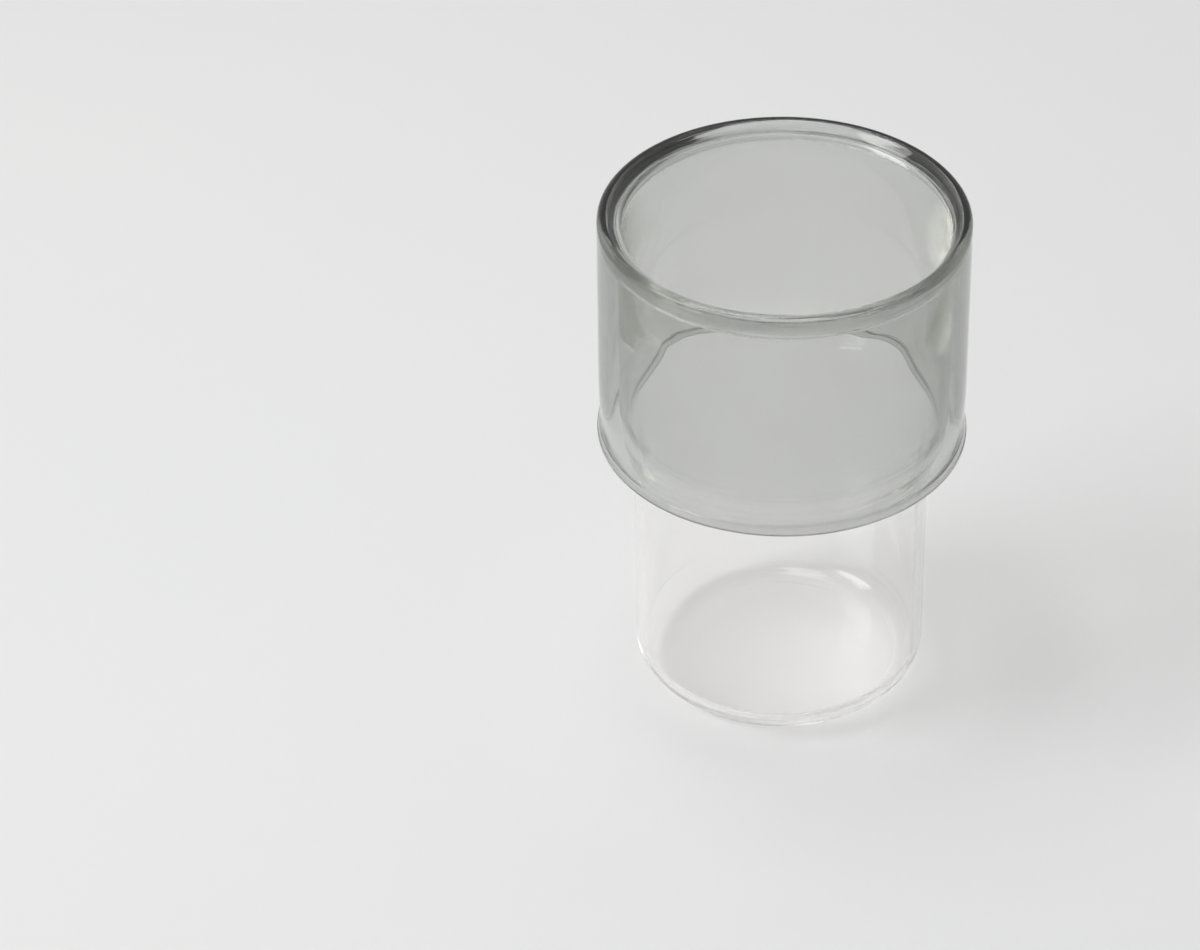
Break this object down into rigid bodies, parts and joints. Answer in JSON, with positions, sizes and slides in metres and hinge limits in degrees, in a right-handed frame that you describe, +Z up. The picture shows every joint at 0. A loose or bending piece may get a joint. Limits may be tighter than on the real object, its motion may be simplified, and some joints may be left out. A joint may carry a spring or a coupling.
{
  "type": "two-tone double-wall drinking glass",
  "caption": "Tall clear glass beaker with a stepped-in body and a smoke-grey glass sleeve fused on at the rounded rim, used to drink from.",
  "frame": {"origin": "centre of the ring that the glass stands on, on the table", "axes": "+Z up along the glass's axis, towards the rim; the glass is round, so X and Y are free"},
  "size_m": [0.0808, 0.0808, 0.118],
  "materials": {
    "clear_glass": "fire polished, clear borosilicate",
    "grey_glass": "fire polished, smoke-grey borosilicate"
  },
  "bodies": {
    "root": {"clear_beaker": "clear_glass", "grey_sleeve": "grey_glass"}
  },
  "joints": []
}
